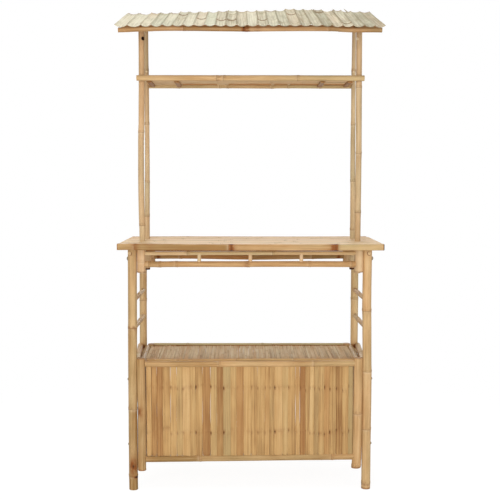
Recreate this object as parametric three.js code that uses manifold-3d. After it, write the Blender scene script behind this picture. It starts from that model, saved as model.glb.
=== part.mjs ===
// A garden bar of bamboo: a slatted counter on four legs, a storage cabinet between the legs, a high shelf
// and a small roof of split canes. Millimetres, +Z up. The customer's side faces -Y.
// The origin is on the floor in the middle.
import * as THREE from "three";
import { mergeVertices } from "three/addons/utils/BufferGeometryUtils.js";
import Module from "manifold-3d";

const wasm = await Module();
wasm.setup();

// Fits shared by all pieces
const clearance = 0.3;
const mergeDistance = 0.001;
const thickPoleSides = 12;
const thinPoleSides = 8;

// Raised rings at the nodes of the bamboo
const nodeRise = 1.2;
const nodeReach = 7;

// Counter
const counterWidth = 1130;
const counterDepth = 580;
const counterThickness = 27;
const counterTopHeight = 1080;
const counterRailDepth = 40;
const counterRailRounding = 6;
const counterBoardCount = 3;
const counterBoardStrips = 4;

// Split strips: how deep and wide the grooves between them are
const grooveDepth = 2.5;
const grooveReach = 3;

// Legs: how far the counter reaches beyond their inner faces at the ends, and beyond their axes in front
const counterEndReach = 77.5;
const counterFrontReach = 79;
const frontLegRadius = 19.5;
const rearLegRadius = 17.5;
const leftLegNodeShares = [0.05, 0.326, 0.674];
const rightLegNodeShares = [0.246, 0.49, 0.744];
const rearLegNodeShares = [0.36, 0.741];

// Side rungs and the rails that tie the legs under the counter
const rungRadius = 10;
const rungDrops = [224, 347, 483];
const rungNodeShares = [0.45];
const sideRailRadius = 12.5;

// Apron below the counter
const apronPostRadius = 19;
const apronPostLength = 99;
const apronUpperRadius = 8.5;
const apronUpperDrop = 17;
const apronLowerRadius = 11.5;
const apronLowerDrop = 65;
const apronNodeShares = [0.2, 0.72];
const spindleRadius = 8;
const spindleSpacing = 220;

// Upper poles: their insets are measured from the front edges of the boards that they pass through
const upperFrontRadius = 13.5;
const upperRearRadius = 13.5;
const upperRearTipRadius = 9;
const upperFrontInset = 18.1;
const upperRearInset = 28.6;
const upperTail = 118;
const upperNodeShares = [0.3, 0.55, 0.68];

// High shelf: its rails reach beyond the axes of the poles that carry them
const shelfAboveCounter = 728;
const shelfFrontRadius = 12.5;
const shelfRearRadius = 17;
const shelfFrontReach = 21.3;
const shelfRearReach = 11.6;
const shelfNodeShares = [0.37, 0.8];
const shelfDeckThickness = 20;
const shelfDeckDrop = 2;
const shelfDeckStrips = 4;
const shelfBattenThickness = 8;
const shelfBattenWidth = 24;
const shelfBattenInset = 22;

// Roof: its ends reach beyond the ends of the counter
const roofEndReach = 3;
const roofDepth = 480;
const roofRise = 144;
const eaveAboveCounter = 908;
const caneCount = 25;
const caneSteps = 6;
const caneArch = 9;
const caneThickness = 6;
const roofRailRadius = 10;
const roofRailEndInset = 12;
const roofRailInset = 15;
const roofRailNodeShares = [0.25, 0.48];
const rafterRadius = 9.5;

// Cabinet
const cabinetPostRadius = 19;
const cabinetPostTail = 49;
const cabinetPostHead = 26;
const cabinetRearPostHead = 14;
const cabinetTopRailRadius = 13;
const cabinetTopRailHeight = 554;
const cabinetBottomRailRadius = 13;
const cabinetBottomRailHeight = 134;
const cabinetTopNodeShares = [0.36, 0.77];
const cabinetBottomNodeShares = [0.26, 0.88];
const panelThickness = 9;
const coverThickness = 8;
const coverDrop = 6;
const frontSlatCount = 32;
const sideSlatCount = 14;
const coverSlatCount = 44;
const floorSlatCount = 30;

// Places worked out from the sizes above
const counterUnderside = counterTopHeight - counterThickness;
const standHeight = counterUnderside - clearance;
const legInnerX = counterWidth / 2 - counterEndReach;
const frontLegX = legInnerX + frontLegRadius;
const rearLegX = legInnerX + rearLegRadius;
const legY = counterDepth / 2 - counterFrontReach;
const railFit = nodeRise + clearance;
const postX = legInnerX - railFit - cabinetPostRadius;
const sideRailHeight = standHeight - sideRailRadius;
const counterDeck = counterDepth - 2 * (counterRailDepth + clearance);
const boardPitch = (counterDeck + clearance) / counterBoardCount;
const boardDepth = boardPitch - clearance;
const upperFrontY = -boardDepth / 2 + upperFrontInset;
const upperRearY = boardDepth / 2 + clearance + upperRearInset;
const shelfTopHeight = counterTopHeight + shelfAboveCounter;
const eaveHeight = counterTopHeight + eaveAboveCounter;
const roofWidth = counterWidth + 2 * roofEndReach;
const roofAngle = Math.atan2(roofRise, roofDepth);
const roofRailY = roofDepth / 2 - roofRailInset;

const root = new THREE.Group();

// Every piece has a finish of its own in one of the bamboo's tones.
function bambooFinish(colour, roughness) {
  return new THREE.MeshStandardMaterial({ color: colour, roughness, metalness: 0 });
}
const finishes = {
  pole: () => bambooFinish(0xcfa46c, 0.55),
  paleEnd: () => bambooFinish(0xd9bd93, 0.6),
  slat: () => bambooFinish(0xb9905c, 0.7),
  counter: () => bambooFinish(0xd8b27c, 0.6),
  weathered: () => bambooFinish(0xc9c0a0, 0.85),
};

function addMesh(group, name, geometry, finish) {
  const mesh = new THREE.Mesh(geometry, finishes[finish]());
  mesh.name = name;
  group.add(mesh);
  return mesh;
}

// Solids for cutting: a closed geometry moved to its place in the whole object
function toSolid(geometry, matrix) {
  const bare = geometry.clone().applyMatrix4(matrix);
  bare.deleteAttribute("normal");
  bare.deleteAttribute("uv");
  const merged = mergeVertices(bare, mergeDistance);
  return new wasm.Manifold(
    new wasm.Mesh({
      numProp: 3,
      vertProperties: merged.attributes.position.array,
      triVerts: new Uint32Array(merged.index.array),
    }),
  );
}

function fromSolid(solid) {
  const made = solid.getMesh();
  const geometry = new THREE.BufferGeometry();
  geometry.setAttribute("position", new THREE.BufferAttribute(made.vertProperties, 3));
  geometry.setIndex(new THREE.BufferAttribute(made.triVerts, 1));
  geometry.computeVertexNormals();
  return geometry;
}

// A mesh loses what each solid takes away, and keeps its own frame.
function cutMesh(mesh, solids) {
  mesh.updateMatrix();
  let solid = toSolid(mesh.geometry, mesh.matrix);
  for (const taken of solids) solid = solid.subtract(taken);
  mesh.geometry = fromSolid(solid).applyMatrix4(mesh.matrix.clone().invert());
}

// A pole as planned: its two ends, its radii there, and its nodes as shares of its length
function plan(from, to, baseRadius, tipRadius = baseRadius, nodeShares = [], sides = thinPoleSides) {
  return {
    from: new THREE.Vector3(...from),
    to: new THREE.Vector3(...to),
    baseRadius,
    tipRadius,
    nodeShares,
    sides,
  };
}

// A thick post whose nodes don't show
function plainPost(from, to, radius) {
  return plan(from, to, radius, radius, [], thickPoleSides);
}

// The turned form of a pole along +Y. A grown one makes room for the pole in its neighbours.
function poleGeometry(pole, grow = 0) {
  const length = pole.from.distanceTo(pole.to);
  const radiusAt = (y) => THREE.MathUtils.lerp(pole.baseRadius, pole.tipRadius, y / length) + grow;
  const outline = [new THREE.Vector2(0, -grow), new THREE.Vector2(radiusAt(0), -grow)];
  for (const share of pole.nodeShares) {
    const y = share * length;
    outline.push(new THREE.Vector2(radiusAt(y), y - nodeReach));
    outline.push(new THREE.Vector2(radiusAt(y) + nodeRise, y));
    outline.push(new THREE.Vector2(radiusAt(y), y + nodeReach));
  }
  outline.push(new THREE.Vector2(radiusAt(length), length + grow));
  outline.push(new THREE.Vector2(0, length + grow));
  return new THREE.LatheGeometry(outline, pole.sides);
}

function standPole(object, pole) {
  const axis = pole.to.clone().sub(pole.from).normalize();
  object.position.copy(pole.from);
  object.quaternion.setFromUnitVectors(new THREE.Vector3(0, 1, 0), axis);
  object.updateMatrix();
}

// The room that a pole needs, as a solid in the whole object's frame
function roomFor(pole) {
  const holder = new THREE.Object3D();
  standPole(holder, pole);
  return toSolid(poleGeometry(pole, clearance), holder.matrix);
}

// A pole's mesh, scribed to fit round the poles that it meets
function addPole(group, name, pole, finish, met = []) {
  const mesh = addMesh(group, name, poleGeometry(pole), finish);
  standPole(mesh, pole);
  if (met.length) cutMesh(mesh, met.map(roomFor));
  return mesh;
}

// A section pushed along an axis, with its own up direction: across = up x along
function pushed(section, length, origin, up, along) {
  const shape = new THREE.Shape(section.map(([x, y]) => new THREE.Vector2(x, y)));
  const geometry = new THREE.ExtrudeGeometry(shape, { depth: length, bevelEnabled: false });
  const upAxis = new THREE.Vector3(...up);
  const alongAxis = new THREE.Vector3(...along);
  const acrossAxis = upAxis.clone().cross(alongAxis);
  const basis = new THREE.Matrix4().makeBasis(acrossAxis, upAxis, alongAxis);
  return { geometry, basis, origin };
}

function addPushed(group, name, piece, finish) {
  const mesh = addMesh(group, name, piece.geometry, finish);
  mesh.position.set(...piece.origin);
  mesh.quaternion.setFromRotationMatrix(piece.basis);
  mesh.updateMatrix();
  return mesh;
}

// The section of a mat of split strips: flat below, with a groove between neighbours above
function stripSection(width, thickness, count) {
  const pitch = width / count;
  const section = [
    [-width / 2, 0],
    [width / 2, 0],
    [width / 2, thickness - grooveDepth],
  ];
  for (let i = count - 1; i >= 0; i--) {
    const left = -width / 2 + i * pitch;
    section.push([left + pitch - grooveReach, thickness]);
    section.push([left + grooveReach, thickness]);
    section.push([left, thickness - grooveDepth]);
  }
  return section;
}

// The section of a rail that was planed flat on four sides, its long edges eased
function railSection(width, height, rounding) {
  return [
    [-width / 2 + rounding, 0],
    [width / 2 - rounding, 0],
    [width / 2, rounding],
    [width / 2, height - rounding],
    [width / 2 - rounding, height],
    [-width / 2 + rounding, height],
    [-width / 2, height - rounding],
    [-width / 2, rounding],
  ];
}

// The section of the roof cover, seen from the eave: split canes side by side, hollow side up
function caneSection(width, count) {
  const steps = count * caneSteps;
  const heightAt = (i) => (caneArch * (1 + Math.cos((2 * Math.PI * i) / caneSteps))) / 2;
  const placeAt = (i) => -width / 2 + (width * i) / steps;
  const section = [];
  for (let i = 0; i <= steps; i++) section.push([placeAt(i), heightAt(i)]);
  for (let i = steps; i >= 0; i--) section.push([placeAt(i), heightAt(i) + caneThickness]);
  return section;
}

const up = [0, 0, 1];
const down = [0, 0, -1];
const acrossFront = [1, 0, 0];
const towardsBack = [0, 1, 0];
const sides = [
  ["left", -1],
  ["right", 1],
];
const ends = [
  ["front", -1],
  ["rear", 1],
];

// Legs
function legPlan(side, end) {
  const radius = end < 0 ? frontLegRadius : rearLegRadius;
  const x = side * (end < 0 ? frontLegX : rearLegX);
  const frontShares = side < 0 ? leftLegNodeShares : rightLegNodeShares;
  const shares = end < 0 ? frontShares : rearLegNodeShares;
  return plan([x, end * legY, 0], [x, end * legY, standHeight], radius, radius, shares, thickPoleSides);
}

function addLegs() {
  const group = new THREE.Group();
  for (const [sideName, side] of sides)
    for (const [endName, end] of ends)
      addPole(group, `leg_${endName}_${sideName}`, legPlan(side, end), "pole");
  root.add(group);
}

// A pole from the front leg to the rear leg of one side
function legTie(side, height, radius, shares) {
  return plan([side * frontLegX, -legY, height], [side * rearLegX, legY, height], radius, radius, shares);
}

function addRungs() {
  const group = new THREE.Group();
  for (const [sideName, side] of sides) {
    const legs = ends.map(([, end]) => legPlan(side, end));
    rungDrops.forEach((drop, i) => {
      const rung = legTie(side, counterUnderside - drop, rungRadius, rungNodeShares);
      addPole(group, `rung_${sideName}_${i + 1}`, rung, "pole", legs);
    });
    addPole(group, `side_rail_${sideName}`, legTie(side, sideRailHeight, sideRailRadius, []), "pole", legs);
  }
  root.add(group);
}

// Apron: end posts, long rails and short spindles
function apronPostPlan(side, end) {
  const [x, y] = [side * postX, end * legY];
  const foot = standHeight - apronPostLength;
  return plainPost([x, y, foot], [x, y, standHeight], apronPostRadius);
}

function apronRailPlan(end, drop, radius) {
  const height = counterUnderside - drop;
  return plan([-postX, end * legY, height], [postX, end * legY, height], radius, radius, apronNodeShares);
}

function addApron() {
  const group = new THREE.Group();
  for (const [endName, end] of ends) {
    const posts = sides.map(([, side]) => apronPostPlan(side, end));
    sides.forEach(([sideName], i) => {
      addPole(group, `apron_post_${endName}_${sideName}`, posts[i], "paleEnd");
    });
    const upper = apronRailPlan(end, apronUpperDrop, apronUpperRadius);
    const lower = apronRailPlan(end, apronLowerDrop, apronLowerRadius);
    addPole(group, `apron_upper_rail_${endName}`, upper, "pole", posts);
    addPole(group, `apron_lower_rail_${endName}`, lower, "pole", posts);
  }
  const upper = apronRailPlan(-1, apronUpperDrop, apronUpperRadius);
  const lower = apronRailPlan(-1, apronLowerDrop, apronLowerRadius);
  const placed = [
    ["left", -1],
    ["middle", 0],
    ["right", 1],
  ];
  for (const [name, place] of placed) {
    const x = place * spindleSpacing;
    const spindle = plan([x, -legY, lower.from.z], [x, -legY, upper.from.z], spindleRadius);
    addPole(group, `apron_spindle_${name}`, spindle, "paleEnd", [lower, upper]);
  }
  root.add(group);
}

// Upper poles: they stand beside the side rails, pass through the counter and carry shelf and roof.
function roofUndersideAt(y) {
  return eaveHeight + (y + roofDepth / 2) * Math.tan(roofAngle);
}

function sideRailInnerX(y) {
  const share = (y + legY) / (2 * legY);
  return THREE.MathUtils.lerp(frontLegX, rearLegX, share) - sideRailRadius;
}

const upperFrontX = sideRailInnerX(upperFrontY) - clearance - upperFrontRadius;
const rafterX = upperFrontX - upperFrontRadius - clearance - rafterRadius;

function upperPolePlan(side, end) {
  const y = end < 0 ? upperFrontY : upperRearY;
  const baseRadius = end < 0 ? upperFrontRadius : upperRearRadius;
  const tipRadius = end < 0 ? upperFrontRadius : upperRearTipRadius;
  const baseX = sideRailInnerX(y) - clearance - baseRadius;
  const tipX = end < 0 ? baseX : rafterX + rafterRadius + clearance + tipRadius;
  const from = [side * baseX, y, counterUnderside - upperTail];
  const to = [side * tipX, y, roofUndersideAt(y - tipRadius) - clearance];
  return plan(from, to, baseRadius, tipRadius, upperNodeShares, thickPoleSides);
}

function addUpperPoles() {
  const group = new THREE.Group();
  for (const [sideName, side] of sides)
    for (const [endName, end] of ends)
      addPole(group, `upper_pole_${endName}_${sideName}`, upperPolePlan(side, end), "pole");
  root.add(group);
}

// Counter: an edge rail in front and behind, and boards of split strips between them
function addCounter() {
  const group = new THREE.Group();
  for (const [endName, end] of ends) {
    const y = end * (counterDepth / 2 - counterRailDepth / 2);
    const section = railSection(counterRailDepth, counterThickness, counterRailRounding);
    const rail = pushed(section, counterWidth, [-counterWidth / 2, y, counterUnderside], up, acrossFront);
    addPushed(group, `counter_rail_${endName}`, rail, "counter");
  }
  const rooms = sides.flatMap(([, side]) => ends.map(([, end]) => roomFor(upperPolePlan(side, end))));
  for (let i = 0; i < counterBoardCount; i++) {
    const y = (boardDepth - counterDeck) / 2 + i * boardPitch;
    const section = stripSection(boardDepth, counterThickness, counterBoardStrips);
    const board = pushed(section, counterWidth, [-counterWidth / 2, y, counterUnderside], up, acrossFront);
    cutMesh(addPushed(group, `counter_board_${i + 1}`, board, "counter"), rooms);
  }
  root.add(group);
}

// High shelf: a rail before the front poles, one behind the rear poles, a deck and its battens between them
function addShelf() {
  const group = new THREE.Group();
  const frontY = upperFrontY - upperFrontRadius - clearance - shelfFrontRadius;
  const frontZ = shelfTopHeight - shelfFrontRadius;
  const rearZ = shelfTopHeight - shelfRearRadius;
  const rearPole = upperPolePlan(1, 1);
  const rearShare = (rearZ - rearPole.from.z) / (rearPole.to.z - rearPole.from.z);
  const rearPoleRadius = THREE.MathUtils.lerp(upperRearRadius, upperRearTipRadius, rearShare);
  const rearY = upperRearY + rearPoleRadius + clearance + shelfRearRadius;
  const halfFront = upperFrontX + shelfFrontReach;
  const halfRear = rearPole.from.x + shelfRearReach;
  const railPlan = (half, y, z, radius) => {
    return plan([-half, y, z], [half, y, z], radius, radius, shelfNodeShares);
  };
  const front = railPlan(halfFront, frontY, frontZ, shelfFrontRadius);
  const rear = railPlan(halfRear, rearY, rearZ, shelfRearRadius);
  addPole(group, "shelf_rail_front", front, "pole");
  addPole(group, "shelf_rail_rear", rear, "pole");

  const deckHalf = rearPole.from.x - upperRearRadius - clearance;
  const deckFrom = frontY + shelfFrontRadius + railFit;
  const deckTo = rearY - shelfRearRadius - railFit;
  const deckY = (deckFrom + deckTo) / 2;
  const deckTop = shelfTopHeight - shelfDeckDrop;
  const section = stripSection(deckTo - deckFrom, shelfDeckThickness, shelfDeckStrips);
  const deck = pushed(section, 2 * deckHalf, [-deckHalf, deckY, deckTop], down, acrossFront);
  addPushed(group, "shelf_deck", deck, "counter");

  const battenTop = deckTop - shelfDeckThickness - clearance;
  for (const [sideName, side] of sides) {
    const x = side * (deckHalf - shelfBattenInset);
    const flat = railSection(shelfBattenWidth, shelfBattenThickness, grooveDepth);
    const batten = pushed(flat, deckTo - deckFrom, [x, deckFrom, battenTop], down, towardsBack);
    addPushed(group, `shelf_batten_${sideName}`, batten, "slat");
  }
  root.add(group);
}

// Roof: two rails, two rafters against the poles' inner sides, and the cover of canes in two halves
function addRoof() {
  const group = new THREE.Group();
  const heightFor = (y, radius) => roofUndersideAt(y) - (radius + clearance) / Math.cos(roofAngle);
  const railPlan = (end) => {
    const y = end * roofRailY;
    const z = heightFor(y, roofRailRadius);
    const half = roofWidth / 2 - roofRailEndInset;
    return plan([-half, y, z], [half, y, z], roofRailRadius, roofRailRadius, roofRailNodeShares);
  };
  const rails = ends.map(([, end]) => railPlan(end));
  ends.forEach(([endName], i) => addPole(group, `roof_rail_${endName}`, rails[i], "pole"));
  for (const [sideName, side] of sides) {
    const x = side * rafterX;
    const from = [x, -roofRailY, heightFor(-roofRailY, rafterRadius)];
    const to = [x, roofRailY, heightFor(roofRailY, rafterRadius)];
    addPole(group, `rafter_${sideName}`, plan(from, to, rafterRadius), "pole", rails);
  }
  const leftCaneCount = Math.ceil(caneCount / 2);
  const canePitch = (roofWidth - clearance) / caneCount;
  const slope = [0, Math.cos(roofAngle), Math.sin(roofAngle)];
  const face = [0, -Math.sin(roofAngle), Math.cos(roofAngle)];
  for (const [sideName, side] of sides) {
    const count = side < 0 ? leftCaneCount : caneCount - leftCaneCount;
    const coverWidth = count * canePitch;
    const x = (side * (roofWidth - coverWidth)) / 2;
    const section = caneSection(coverWidth, count);
    const length = roofDepth / Math.cos(roofAngle);
    const cover = pushed(section, length, [x, -roofDepth / 2, eaveHeight], face, slope);
    addPushed(group, `roof_cover_${sideName}`, cover, "weathered");
  }
  root.add(group);
}

// Cabinet: four posts, rails all round at the top and the bottom, slatted sheets in the frame, the back open
function cabinetPostPlan(side, end) {
  const [x, y] = [side * postX, end * legY];
  const foot = cabinetBottomRailHeight - cabinetPostTail;
  const top = cabinetTopRailHeight + (end < 0 ? cabinetPostHead : cabinetRearPostHead);
  return plainPost([x, y, foot], [x, y, top], cabinetPostRadius);
}

function addCabinetFrame(group) {
  for (const [sideName, side] of sides)
    for (const [endName, end] of ends)
      addPole(group, `cabinet_post_${endName}_${sideName}`, cabinetPostPlan(side, end), "pole");
  const levels = [
    ["top", cabinetTopRailHeight, cabinetTopRailRadius, cabinetTopNodeShares],
    ["bottom", cabinetBottomRailHeight, cabinetBottomRailRadius, cabinetBottomNodeShares],
  ];
  for (const [level, z, radius, shares] of levels) {
    for (const [endName, end] of ends) {
      const rail = plan([-postX, end * legY, z], [postX, end * legY, z], radius, radius, shares);
      const posts = sides.map(([, side]) => cabinetPostPlan(side, end));
      addPole(group, `cabinet_${level}_rail_${endName}`, rail, "pole", posts);
    }
    for (const [sideName, side] of sides) {
      const rail = plan([side * postX, -legY, z], [side * postX, legY, z], radius);
      const posts = ends.map(([, end]) => cabinetPostPlan(side, end));
      addPole(group, `cabinet_${level}_rail_${sideName}`, rail, "pole", posts);
    }
  }
}

function addCabinetSheets(group) {
  const sheetFoot = cabinetBottomRailHeight + cabinetBottomRailRadius + railFit;
  const sheetTop = cabinetTopRailHeight - cabinetTopRailRadius - railFit;
  const sheetHeight = sheetTop - sheetFoot;
  const frontWidth = 2 * (postX - cabinetPostRadius - clearance);
  const sideWidth = 2 * (legY - cabinetPostRadius - clearance);
  const frontSection = stripSection(frontWidth, panelThickness, frontSlatCount);
  const frontOrigin = [0, -legY + panelThickness / 2, sheetFoot];
  const front = pushed(frontSection, sheetHeight, frontOrigin, [0, -1, 0], up);
  addPushed(group, "cabinet_front_panel", front, "slat");
  for (const [sideName, side] of sides) {
    const section = stripSection(sideWidth, panelThickness, sideSlatCount);
    const origin = [side * (postX - panelThickness / 2), 0, sheetFoot];
    const panel = pushed(section, sheetHeight, origin, [side, 0, 0], up);
    addPushed(group, `cabinet_${sideName}_panel`, panel, "slat");
  }
  const coverTop = cabinetTopRailHeight + cabinetTopRailRadius - coverDrop;
  const coverReach = legY - cabinetTopRailRadius - railFit;
  const coverSection = stripSection(frontWidth, coverThickness, coverSlatCount);
  const coverOrigin = [0, -coverReach, coverTop - coverThickness];
  const cover = pushed(coverSection, 2 * coverReach, coverOrigin, up, towardsBack);
  addPushed(group, "cabinet_top", cover, "slat");
  const floorReach = legY - cabinetBottomRailRadius - railFit;
  const floorSection = stripSection(frontWidth, coverThickness, floorSlatCount);
  const floorOrigin = [0, -floorReach, cabinetBottomRailHeight - coverThickness / 2];
  const floor = pushed(floorSection, 2 * floorReach, floorOrigin, up, towardsBack);
  addPushed(group, "cabinet_floor", floor, "slat");
}

function addCabinet() {
  const group = new THREE.Group();
  addCabinetFrame(group);
  addCabinetSheets(group);
  root.add(group);
}

addLegs();
addRungs();
addApron();
addUpperPoles();
addCounter();
addShelf();
addRoof();
addCabinet();

export default root;
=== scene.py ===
# A garden bar of bamboo: counter, high shelf, roof of split canes and slatted cabinet. Metres, +Z up.
import math
import zlib

import bmesh
import bpy
import numpy as np
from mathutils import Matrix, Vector


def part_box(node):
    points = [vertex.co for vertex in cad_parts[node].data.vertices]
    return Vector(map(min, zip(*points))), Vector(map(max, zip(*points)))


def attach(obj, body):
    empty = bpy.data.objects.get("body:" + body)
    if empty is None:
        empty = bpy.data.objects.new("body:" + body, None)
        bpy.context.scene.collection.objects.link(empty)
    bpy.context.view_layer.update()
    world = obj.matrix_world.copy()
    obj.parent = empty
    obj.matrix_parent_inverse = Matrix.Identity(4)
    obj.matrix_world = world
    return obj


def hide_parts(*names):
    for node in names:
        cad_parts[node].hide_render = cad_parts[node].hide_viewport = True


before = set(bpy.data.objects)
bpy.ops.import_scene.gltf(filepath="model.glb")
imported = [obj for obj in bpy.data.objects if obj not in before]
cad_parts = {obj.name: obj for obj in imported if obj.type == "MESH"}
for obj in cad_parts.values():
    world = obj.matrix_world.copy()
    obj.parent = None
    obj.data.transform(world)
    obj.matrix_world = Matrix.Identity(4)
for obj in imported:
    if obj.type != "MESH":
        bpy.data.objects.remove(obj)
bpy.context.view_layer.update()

# Sizes and places of pieces are millimetres here, and turn into metres when a piece is made
MM = 0.001

# Camera, before the counter and a little above it. Its place and those of the lamps are metres
CAMERA_PLACE = (-0.048, -4.074, 1.340)
CAMERA_PITCH = math.radians(4.29)
CAMERA_TURN = math.radians(-0.693)
CAMERA_LENS = 64.8
CAMERA_SENSOR = 36.0

# The light of the white surroundings, which show as 1
WORLD_LIGHT = 0.34

# Signs of x and y at the sides and ends, and axes by number
LEFT = FRONT = -1
RIGHT = REAR = 1
SIDES = (("left", LEFT), ("right", RIGHT))
ENDS = (("front", FRONT), ("rear", REAR))
CORNERS = [(f"{end}_{side}", way, back) for side, way in SIDES for end, back in ENDS]
X = 0
Z = 2
UP = (0, 0, 1)
DOWN = (0, 0, -1)
TO_FRONT = (0, -1, 0)

# Main places, as in the part's source
LEG_X = {FRONT: 507, REAR: 505}
LEG_RADIUS = {FRONT: 19.5, REAR: 17.5}
LEG_Y = 211
LEG_TOP = 1052.7
POST_X = 467
COUNTER_HALF = 565
UPPER_RADIUS = 13.2
UPPER_FRONT_X = 479.7
UPPER_FRONT_Y = -65
UPPER_FRONT_TOP = 2034
UPPER_REAR_X = 478.4
UPPER_REAR_TIP_X = 475.2
UPPER_REAR_Y = 112
UPPER_REAR_TOP = 2086
UPPER_FOOT = 935
ROOF_ANGLE = math.atan2(144, 480)
EAVE_HEIGHT = 1988
ROOF_HALF = 568
ROOF_DEPTH = 480
CABINET_HALF = 447.7

# Kinds of surface: the culm's skin, and its flesh where it is cut or split
SKIN = 0
FLESH = 1

# How a culm's two ends are: open to its hollow, or flat
HOLLOW = ("hollow", "hollow")
STANDING = ("hollow", "solid")
SOLID = ("solid", "solid")

# Colours of the marks on bamboo. The black serves the darkest stains and also painted shade in holes and
# slits
BLOTCH_BROWN = (150, 104, 64)
BLOOM_PALE = (233, 215, 182)
SCAR_BROWN = (112, 76, 44)
STAIN_AND_SHADE_BLACK = (36, 24, 16)

# Where the outlines of a culm and of a slat need points, before and after a node
NODE_OFFSETS = (-30, -18, -10, -6, -3, -1.5, -0.6, 0, 0.6, 1.4, 2.2, 3.2, 4.4, 5.6, 7, 9, 12, 18, 30)
SLAT_OFFSETS = (-14, -7, -3, -1.2, 0, 1.2, 2.6, 4.5, 7, 14)

# The same before and after a stain, as shares of its reach
MARK_OFFSETS = np.array((-2, -1.4, -1, -0.5, 0, 0.5, 1, 1.4, 2))

# How far the grain is moved on at each node, in metres
NODE_SHIFT = 0.61

# The lower, the squarer a planed rail's section
SQUARE_POWER = 0.2


def srgb(red, green, blue):
    """A colour as it shows on screen, 0 to 255, in the renderer's linear values."""
    shares = np.array((red, green, blue)) / 255
    linear = np.where(shares <= 0.04045, shares / 12.92, ((shares + 0.055) / 1.055) ** 2.4)
    return (*linear.tolist(), 1.0)


def bell(value, centre, spread):
    return np.exp(-(((value - centre) / spread) ** 2))


def wrapped(angle):
    """The same angle, from -pi to pi."""
    return (angle + math.pi) % (2 * math.pi) - math.pi


def axes(start, end, hint=None):
    """The start, the length from it to the end, the direction there, and two more across it.

    The last one is nearest to the hint."""
    start = np.array(start, float)
    along = end - start
    length = np.linalg.norm(along)
    along = along / length
    if hint is None:
        hint = TO_FRONT if abs(along[2]) > 0.7 else UP
    first = np.cross(hint, along)
    first = first / np.linalg.norm(first)
    return start, length, along, first, np.cross(along, first)


def add_object(name, data):
    thing = bpy.data.objects.new(name, data)
    bpy.context.scene.collection.objects.link(thing)
    return thing


class Piece:
    """The surface of one piece as it grows, in millimetres, with what its materials read at each point.

    grain: place along and across the fibres. look: tone, warmth, stain, which also carries painted shade.
    ring: scar, bloom, blotch."""

    def __init__(self, name):
        self.name = name
        self.dice = np.random.default_rng(zlib.crc32(name.encode()))
        self.places = []
        self.read = {"grain": [], "look": [], "ring": []}
        self.faces = []
        self.kinds = []
        self.count = 0

    def fibres(self, across, upward, along):
        """The grain at places across and along the fibres, from a random spot on."""
        along = np.broadcast_to(along[:, None], across.shape)
        return np.stack([across * MM, upward * MM, along], -1) + self.dice.uniform(0, 40, 3)

    def add(self, places, *read):
        self.places.append(places.reshape(-1, 3))
        for store, values in zip(self.read.values(), read):
            store.append(np.broadcast_to(values, places.shape).reshape(-1, 3))
        first = self.count
        self.count += len(self.places[-1])
        return first

    def grid(self, places, grain, look, ring, kinds):
        """A tube of quads over rows and columns of places. kinds is one kind, or one for each column."""
        rows, columns = places.shape[:2]
        first = self.add(places, grain, look, ring)
        row = np.arange(rows - 1)[:, None] * columns
        column = np.arange(columns)[None, :]
        after = (column + 1) % columns
        corners = (row + column, row + after, row + columns + after, row + columns + column)
        quads = np.stack([np.broadcast_to(corner, (rows - 1, columns)) for corner in corners], -1) + first
        self.faces.extend(quads.reshape(-1, 4).tolist())
        kinds = np.broadcast_to(kinds, (rows - 1, columns))
        self.kinds.extend(kinds.reshape(-1).tolist())
        return first

    def cap(self, first, columns, kind):
        """One flat face over a ring of points."""
        self.faces.append(list(range(first, first + columns)))
        self.kinds.append(kind)

    def fan(self, first, columns, centre, kind):
        """Triangles from a ring of points to one in its middle."""
        for i in range(columns):
            self.faces.append([first + i, first + (i + 1) % columns, centre])
            self.kinds.append(kind)

    def make(self, slot, materials, *nodes):
        mesh = bpy.data.meshes.new(self.name)
        mesh.from_pydata((np.concatenate(self.places) * MM).tolist(), [], self.faces)
        mesh.polygons.foreach_set("material_index", self.kinds)
        for name, read in self.read.items():
            values = np.concatenate(read).astype(np.float32).ravel()
            mesh.attributes.new(name, "FLOAT_VECTOR", "POINT").data.foreach_set("vector", values)
        work = bmesh.new()
        work.from_mesh(mesh)
        bmesh.ops.remove_doubles(work, verts=work.verts, dist=0.00002)
        bmesh.ops.recalc_face_normals(work, faces=work.faces)
        work.to_mesh(mesh)
        work.free()
        mesh.shade_smooth()
        mesh.set_sharp_from_angle(angle=math.radians(42))
        for material in materials:
            mesh.materials.append(material)
        thing = add_object(self.name, mesh)
        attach(thing, "root")
        if nodes:
            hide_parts(*nodes)


def stations(length, nodes, offsets, pitch, ends=(0.5, 2.0)):
    """Where an outline along a length needs points."""
    found = set(np.linspace(0, length, max(2, int(length / pitch) + 1)).round(3))
    for node in nodes:
        found.update(round(node + offset, 3) for offset in offsets if 0 < node + offset < length)
    for reach in ends:
        found.update((reach, round(length - reach, 3)))
    return np.array(sorted(found))


def internodes(piece, nodes, s, spread, looks=()):
    """For each place: the number of the length between nodes that it lies in, and its tone and warmth."""
    number = np.searchsorted(sorted(nodes), s, "right")
    tones = piece.dice.normal(0, spread, len(nodes) + 1)
    warmths = piece.dice.normal(0, spread * 1.6, len(nodes) + 1)
    if looks:
        tones, warmths = np.array(looks, float).T
    return number, tones[number], warmths[number]


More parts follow.
